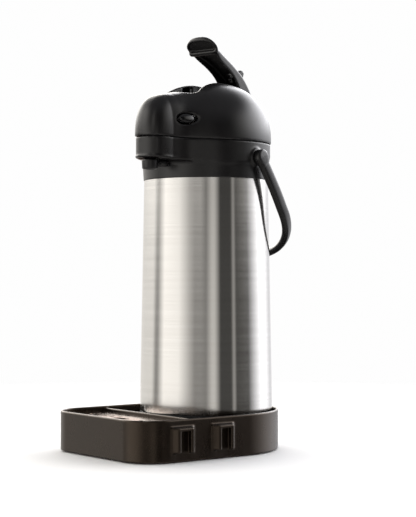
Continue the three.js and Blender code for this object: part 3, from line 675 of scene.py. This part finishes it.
def tray_plan(x, y):
    ax = np.abs(x)
    rear = np.hypot(x, y - TRAY_REAR_CENTRE) - TRAY_HALF
    near = TRAY_FRONT + TRAY_CORNER - y
    edge = TRAY_HALF - TRAY_CORNER
    front = np.hypot(np.maximum(ax - edge, 0), np.maximum(near, 0)) - TRAY_CORNER
    return np.where(y > TRAY_REAR_CENTRE, rear, front)


FOOT_PLACES = [(0, 0), (72, -128), (-72, -128), (62, 44), (-62, 44)]
FOOT_RADIUS = 11
SOCKET_Y = (-108.5, -51.5)
SOCKET_MOUTH, SOCKET_POCKET = 6.8, 8.6
SOCKET_TOP = 35.5
TAB_STEM, TAB_HEAD = 6, 7.8
TAB_MIDDLE, TAB_HALF_HEIGHT = 23, 11


def tray_field(x, y, z):
    plan = tray_plan(x, y)
    body = smax(smax(plan, z - TRAY_HEIGHT, 1.6), 1.5 - z, 1.2)
    front, rear = y - (DIVIDER_Y - 1.4), (DIVIDER_Y + 1.4) - y
    upper = np.maximum(np.maximum(plan + TRAY_WALL, 40.4 - z), front)
    lower = smax(smax(plan + TRAY_WALL + 4, 6 - z, 5), front + 4, 4)
    pan = smax(smax(plan + TRAY_WALL, 25 - z, 4), rear, 2)
    top = np.maximum(plan + TRAY_WALL, 45.7 - z)
    under = smax(np.maximum(plan + TRAY_WALL, rear), z - 22.4, 3)
    relief = np.maximum(np.maximum(plan + TRAY_WALL, z - 4), front)
    for x0, y0 in FOOT_PLACES:
        if y0 > DIVIDER_Y:
            under = smax(under, FOOT_RADIUS - np.hypot(x - x0, y - y0), 1)
    body = smax(body, -np.minimum(np.minimum(upper, lower), np.minimum(pan, top)), 1.0)
    body = np.maximum(body, -np.minimum(under, relief))
    for x0, y0 in FOOT_PLACES:
        if y0 > DIVIDER_Y:
            pad = np.hypot(x - x0, y - y0) - FOOT_RADIUS
            body = np.maximum(body, -np.maximum(pad, z - 4))
    wall = x - TRAY_HALF
    for y0 in SOCKET_Y:
        off = np.abs(y - y0)
        reach = np.maximum(off - (16 - 0.63 * np.maximum(wall, 0)), wall - 8.5)
        block = smax(smax(reach, np.maximum(z - 39.5, 11 - z), 2.4), -wall - 1.0, 0.5)
        body = smin(body, block, 3)
        mouth = np.maximum(np.maximum(off - SOCKET_MOUTH, z - SOCKET_TOP), 2 - wall)
        pocket = np.maximum(np.maximum(off - SOCKET_POCKET, z - SOCKET_TOP), np.abs(wall - 2.7) - 2.3)
        body = smax(body, -np.minimum(mouth, pocket), 1.0)
        side = -x - TRAY_HALF
        level = np.abs(z - TAB_MIDDLE) - TAB_HALF_HEIGHT
        stem = np.maximum(np.maximum(off - TAB_STEM, level), np.maximum(side - 5.4, -side - 1))
        tab = np.maximum(np.maximum(off - TAB_HEAD, level), np.abs(side - 6.7) - 1.5)
        body = smin(body, smin(stem, tab, 1), 1)
    return body


# ------------------------------------------------------------------ build it all

FINE = 1.0

points, faces = surface_mesh(lid_field, (-80, -119, 356), (80, 90, 444), 1.25 * FINE)
piece("lid_cover", points, faces, "lid", "head_plastic", HEAD, "lid_shell")

points, faces = surface_mesh(collar_field, (-81, -119, 321), (81, 90, 371), 1.15 * FINE)
piece("collar_body", points, faces, "pot", "head_plastic", HEAD, "collar")

points, faces = surface_mesh(lever_field, (-25, -64, 384), (25, 72, 444), 0.85 * FINE)
piece("pump_lever", turn_x(points, -LEVER_RAISE, LEVER_PIVOT), faces, "lever", "head_plastic", HEAD,
      "lever_shell")

points, faces = surface_mesh(bail_field, (-91, -12, -151), (91, 12, 12), 1.0 * FINE)
points = turn_x(points, BAIL_LEAN, (0, 0)) + np.array([0, BAIL_PIVOT[0], BAIL_PIVOT[1]])
piece("carry_bail", points, faces, "bail", "head_plastic", HANDLE, "bail_handle")

points, faces = surface_mesh(tray_field, (-108, -166, 0), (108, 87, 50), 1.2 * FINE)
piece("drip_tray", turn_z(points, TRAY_TURN), faces, "tray", "tray_plastic", TRAY, "tray_shell")


def steel_profile():
    outer = []
    for t in np.linspace(0, 1, 24):
        z = SHELL_BOTTOM + 0.8 + (SHELL_TOP - SHELL_BOTTOM - 0.8) * t
        outer.append((SHELL_R_BOTTOM + (SHELL_R_TOP - SHELL_R_BOTTOM) * (z - SHELL_BOTTOM)
                      / (SHELL_TOP - SHELL_BOTTOM), z))
    foot = [(79.2, SHELL_BOTTOM), (79.6, SHELL_BOTTOM), (79.9, SHELL_BOTTOM + 0.3)]
    top = [(SHELL_R_TOP, SHELL_TOP + 6), (SHELL_R_TOP - 1, SHELL_TOP + 6), (SHELL_R_TOP - 1, SHELL_TOP)]
    return foot + outer + top


points, faces = lathe(steel_profile(), 200)
piece("steel_body", points, faces, "pot", "brushed_steel", STEEL, "steel_shell")

points, faces = lathe([
    (6, 331.6), (8.0, 331.6), (8.7, 332.0), (9.1, 332.8), (9.6, 341), (9.55, 342.3), (9.2, 342.6),
    (6.9, 342.6), (6.9, 348), (4.6, 348), (4.9, 341), (5.6, 334)], 64)
piece("pour_nozzle", points + np.array([0, NOZZLE_Y, 0]), faces, "pot", "head_plastic", HEAD, "spout_nozzle")

points, faces = lathe([
    (0, 335.9), (5.8, 335.9), (6.8, 336.3), (7.4, 337.3), (7.6, 341.8), (0, 341.8)], 48)
piece("bill_stud", points + np.array([0, -83, 0]), faces, "pot", "head_plastic", HEAD, "bill_boss")


def button_mesh(side):
    """A release button: an oval pad with a domed face."""
    rings = [(1.0, -8.0), (1.0, -0.6), (0.98, 0.0), (0.93, 0.5), (0.84, 1.05), (0.7, 1.55), (0.5, 1.95),
             (0.28, 2.15), (0.1, 2.2)]
    n = 48
    along, up, out = button_axes()
    pts = []
    for size, depth in rings:
        for i in range(n):
            t = 2 * math.pi * i / n
            across = along * 11 * size * math.cos(t) + up * 5.5 * size * math.sin(t)
            pts.append(BUTTON_AT + across + out * depth)
    quads = []
    for k in range(len(rings) - 1):
        for i in range(n):
            j = (i + 1) % n
            quads.append((k * n + i, k * n + j, (k + 1) * n + j, (k + 1) * n + i))
    quads.append(tuple(range(n))[::-1])
    last = (len(rings) - 1) * n
    quads.append(tuple(range(last, last + n)))
    pts = np.array(pts)
    pts[:, 0] *= side
    return pts, quads


for side, name in ((1, "right"), (-1, "left")):
    points, faces = button_mesh(side)
    piece(f"release_pad_{name}", points, faces, f"release_{name}", "head_plastic", BUTTONS, f"button_{name}")

# CAD nodes that stay: rounded edges and their own materials
KEPT = {
    "drip_grate": (GRATE, 0.3), "base_cup": (DARK, 0.6), "base_ring": (RUBBER, 0.4),
    "inner_flask": (LINER, 0), "stopper": (PALE, 0.6), "dip_tube": (PALE, 0.2), "spout_duct": (PALE, 0.4),
    "hinge_pin": (BRIGHT, 0.3), "bail_pin_right": (DARK, 0.3), "bail_pin_left": (DARK, 0.3),
    "lid_base": (DARK, 0.5), "lid_gasket": (SILICONE, 0.4), "lever_pin": (BRIGHT, 0.3),
    "presser_yoke": (BRIGHT, 0.3), "presser_roller": (PALE, 0.4), "pump_plate": (DARK, 0.5),
    "lock_knob": (HANDLE, 0.9),
}
KEPT.update({f"tray_foot_{i}": (RUBBER, 0.5) for i in range(1, 6)})
for node, (material, width) in KEPT.items():
    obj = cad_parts[node]
    obj.data.materials.clear()
    obj.data.materials.append(material)
    if width:
        soften(obj, width)


def pressed_part(node, material, slot):
    """A CAD part copied as a shown piece that rides the lid with its own mesh; the real part shortens
    towards its foot as the pump plate comes down.
    """
    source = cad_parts[node]
    points = [source.matrix_world @ v.co / MM for v in source.data.vertices]
    faces = [list(p.vertices) for p in source.data.polygons]
    obj = piece(f"{node}_shown", points, faces, "lid", slot, material, node)
    obj.data.set_sharp_from_angle(angle=math.radians(35))
    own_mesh(obj)


pressed_part("bellows", SILICONE, "silicone")
pressed_part("bellows_spring", BRIGHT, "pin_steel")

# ------------------------------------------------------------ floor, light, camera

SENSOR_WIDTH = 36.0
LENS_LENGTH = 100.97
CAMERA_AZIMUTH = math.radians(38.5)
CAMERA_YAW = math.radians(-0.075)
CAMERA_PITCH = math.radians(0.62)
CAMERA_DISTANCE = 1.760
CAMERA_HEIGHT = 0.2099


def make_camera():
    data = bpy.data.cameras.new("camera")
    data.sensor_width = SENSOR_WIDTH
    data.lens = LENS_LENGTH
    cam = bpy.data.objects.new("camera", data)
    cam.location = (CAMERA_DISTANCE * math.sin(CAMERA_AZIMUTH),
                    -CAMERA_DISTANCE * math.cos(CAMERA_AZIMUTH), CAMERA_HEIGHT)
    cam.rotation_euler = (math.pi / 2 + CAMERA_PITCH, 0, CAMERA_AZIMUTH + CAMERA_YAW)
    bpy.context.scene.collection.objects.link(cam)
    bpy.context.scene.camera = cam


def make_floor():
    """A pale floor that fades into the backdrop well away from the object."""
    rings = [0.3, 0.6, 1.2, 2.4, 4.0]
    points, faces = [(0, 0, 0)], []
    sides = 64
    for r in rings:
        for i in range(sides):
            t = 2 * math.pi * i / sides
            points.append((r * math.cos(t), r * math.sin(t), 0))
    for i in range(sides):
        faces.append((0, 1 + i, 1 + (i + 1) % sides))
    for k in range(len(rings) - 1):
        a, b = 1 + k * sides, 1 + (k + 1) * sides
        for i in range(sides):
            j = (i + 1) % sides
            faces.append((a + i, b + i, b + j, a + j))
    mesh = bpy.data.meshes.new("floor")
    mesh.from_pydata(points, [], faces)
    n = Nodes("floor_paper")
    tree = n.tree
    grain = n.noise(n.scaled(1, 1, 1), 3.0, 3.0)
    n.join(n.mix(grain, (0.93, 0.93, 0.93), (0.95, 0.95, 0.95)), n.shader.inputs["Base Color"])
    n.set(Roughness=0.9, Specular_IOR_Level=0.1)
    length = n.add("ShaderNodeVectorMath", operation="LENGTH")
    n.join(n.coords, length.inputs[0])
    fade = n.spread(length.outputs["Value"], 0.0, 1.0, 0.42, 1.1)
    clear = n.add("ShaderNodeBsdfTransparent")
    mixer = n.add("ShaderNodeMixShader")
    n.join(fade, mixer.inputs[0])
    n.join(n.shader.outputs["BSDF"], mixer.inputs[1])
    n.join(clear.outputs["BSDF"], mixer.inputs[2])
    n.join(mixer.outputs["Shader"], tree.nodes["Material Output"].inputs["Surface"])
    mesh.materials.append(n.material)
    obj = bpy.data.objects.new("floor", mesh)
    obj.visible_glossy = False
    bpy.context.scene.collection.objects.link(obj)


WARM = (1.0, 0.97, 0.92)
NEUTRAL = (1.0, 1.0, 1.03)
COPPER = (1.0, 0.6, 0.44)

# The studio round the pot: soft panels and dark cards as (from, to,
# light, colour), in degrees from the camera's side, positive to its right. The light
# blends evenly from each to the next. HORIZON is what the upright steel shows.
HORIZON = [
    (-180, -180, 0.4, COPPER),    # far wall
    (-170, -110, 0.6, WARM),      # wall behind, left
    (-100, -95, 0.2, WARM),       # gap beside the panel
    (-80, -50, 0.9, WARM),        # large panel, left
    (-20, 0, 0.2, WARM),          # the dim room by the camera
    (10, 15, 0.5, WARM),          # upright strip
    (25, 45, 0.05, WARM),         # dark card
    (50, 50, 0.3, WARM),          # thin strip between the cards
    (55, 80, 0.05, WARM),         # dark card
    (110, 130, 1.0, NEUTRAL),     # large panel, right
    (150, 170, 0.6, NEUTRAL),     # wall behind, right
    (180, 180, 0.4, COPPER),
]
HORIZON_STRENGTH = 1.4
# OVERHEAD is what the sloping head shows: big panels behind and to the right.
OVERHEAD = [
    (-180, -140, 1.0, WARM), (-50, -30, 0.05, WARM), (-20, -10, 0.2, WARM), (0, 50, 0.0, WARM),
    (70, 70, 0.2, WARM), (120, 180, 1.0, NEUTRAL),
]
OVERHEAD_STRENGTH = 5.3
BELOW = [(-180, -115, 0.05, WARM), (-75, 75, 0.4, WARM), (115, 180, 0.05, NEUTRAL)]
ABOVE = (0.22, 0.22, 0.23, 1)


def ring_of_light(tree, unit, panels, strength):
    """A background whose brightness runs round the horizon from panel to panel."""
    ramp = tree.nodes.new("ShaderNodeValToRGB")
    elements = ramp.color_ramp.elements
    elements.remove(elements[-1])
    for start, end, light, colour in panels:
        for degrees in sorted({start, end}):
            stop = elements.new((degrees + 180) / 360) if degrees > -180 else elements[0]
            stop.position = (degrees + 180) / 360
            stop.color = tuple(light * c for c in colour) + (1,)
    tree.links.new(unit, ramp.inputs["Fac"])
    out = tree.nodes.new("ShaderNodeBackground")
    tree.links.new(ramp.outputs["Color"], out.inputs["Color"])
    out.inputs["Strength"].default_value = strength
    return out.outputs[0]


def make_studio():
    world = bpy.data.worlds.new("studio")
    bpy.context.scene.world = world
    world.use_nodes = True
    tree = world.node_tree
    tree.nodes.clear()
    new = tree.nodes.new
    link = tree.links.new
    coords = new("ShaderNodeTexCoord")
    turn = new("ShaderNodeMapping")
    turn.vector_type = "POINT"
    turn.inputs["Rotation"].default_value = (0, 0, math.pi / 2 - CAMERA_AZIMUTH)
    link(coords.outputs["Generated"], turn.inputs["Vector"])
    split = new("ShaderNodeSeparateXYZ")
    link(turn.outputs["Vector"], split.inputs[0])
    angle = new("ShaderNodeMath")
    angle.operation = "ARCTAN2"
    link(split.outputs["Y"], angle.inputs[0])
    link(split.outputs["X"], angle.inputs[1])
    unit = new("ShaderNodeMapRange")
    unit.inputs["From Min"].default_value = -math.pi
    unit.inputs["From Max"].default_value = math.pi
    link(angle.outputs[0], unit.inputs["Value"])
    around = unit.outputs["Result"]
    horizon = ring_of_light(tree, around, HORIZON, HORIZON_STRENGTH)
    overhead = ring_of_light(tree, around, OVERHEAD, OVERHEAD_STRENGTH)
    below = ring_of_light(tree, around, BELOW, 1.0)
    above = new("ShaderNodeBackground")
    above.inputs["Color"].default_value = ABOVE
    shade = horizon
    for start, end, other in ((0.06, 0.3, overhead), (0.5, 0.78, above.outputs[0]), (-0.25, -0.6, below)):
        fade = new("ShaderNodeMapRange")
        fade.interpolation_type = "SMOOTHSTEP"
        fade.inputs["From Min"].default_value = start
        fade.inputs["From Max"].default_value = end
        link(split.outputs["Z"], fade.inputs["Value"])
        mixer = new("ShaderNodeMixShader")
        link(fade.outputs["Result"], mixer.inputs[0])
        link(shade, mixer.inputs[1])
        link(other, mixer.inputs[2])
        shade = mixer.outputs[0]
    paper = new("ShaderNodeBackground")
    paper.inputs["Color"].default_value = (0.99, 0.99, 0.99, 1)
    path = new("ShaderNodeLightPath")
    choose = new("ShaderNodeMixShader")
    link(path.outputs["Is Camera Ray"], choose.inputs[0])
    link(shade, choose.inputs[1])
    link(paper.outputs[0], choose.inputs[2])
    out = new("ShaderNodeOutputWorld")
    link(choose.outputs[0], out.inputs["Surface"])


def soft_light(name, azimuth, height, distance, size, power):
    """An area light aimed at the pot and not mirrored in it; azimuth is from the camera's side."""
    data = bpy.data.lights.new(name, "AREA")
    data.shape = "RECTANGLE"
    data.size, data.size_y = size
    data.energy = power
    a = CAMERA_AZIMUTH + math.radians(azimuth)
    at = Vector((distance * math.sin(a), -distance * math.cos(a), height))
    obj = bpy.data.objects.new(name, data)
    obj.location = at
    obj.rotation_euler = (Vector((0, 0, 0.2)) - at).to_track_quat("-Z", "Y").to_euler()
    obj.visible_glossy = False
    obj.visible_camera = False
    bpy.context.scene.collection.objects.link(obj)


make_camera()
make_floor()
make_studio()
soft_light("overhead", 0, 2.2, 0.2, (3.0, 3.0), 14)
bpy.context.scene.view_settings.view_transform = "Standard"
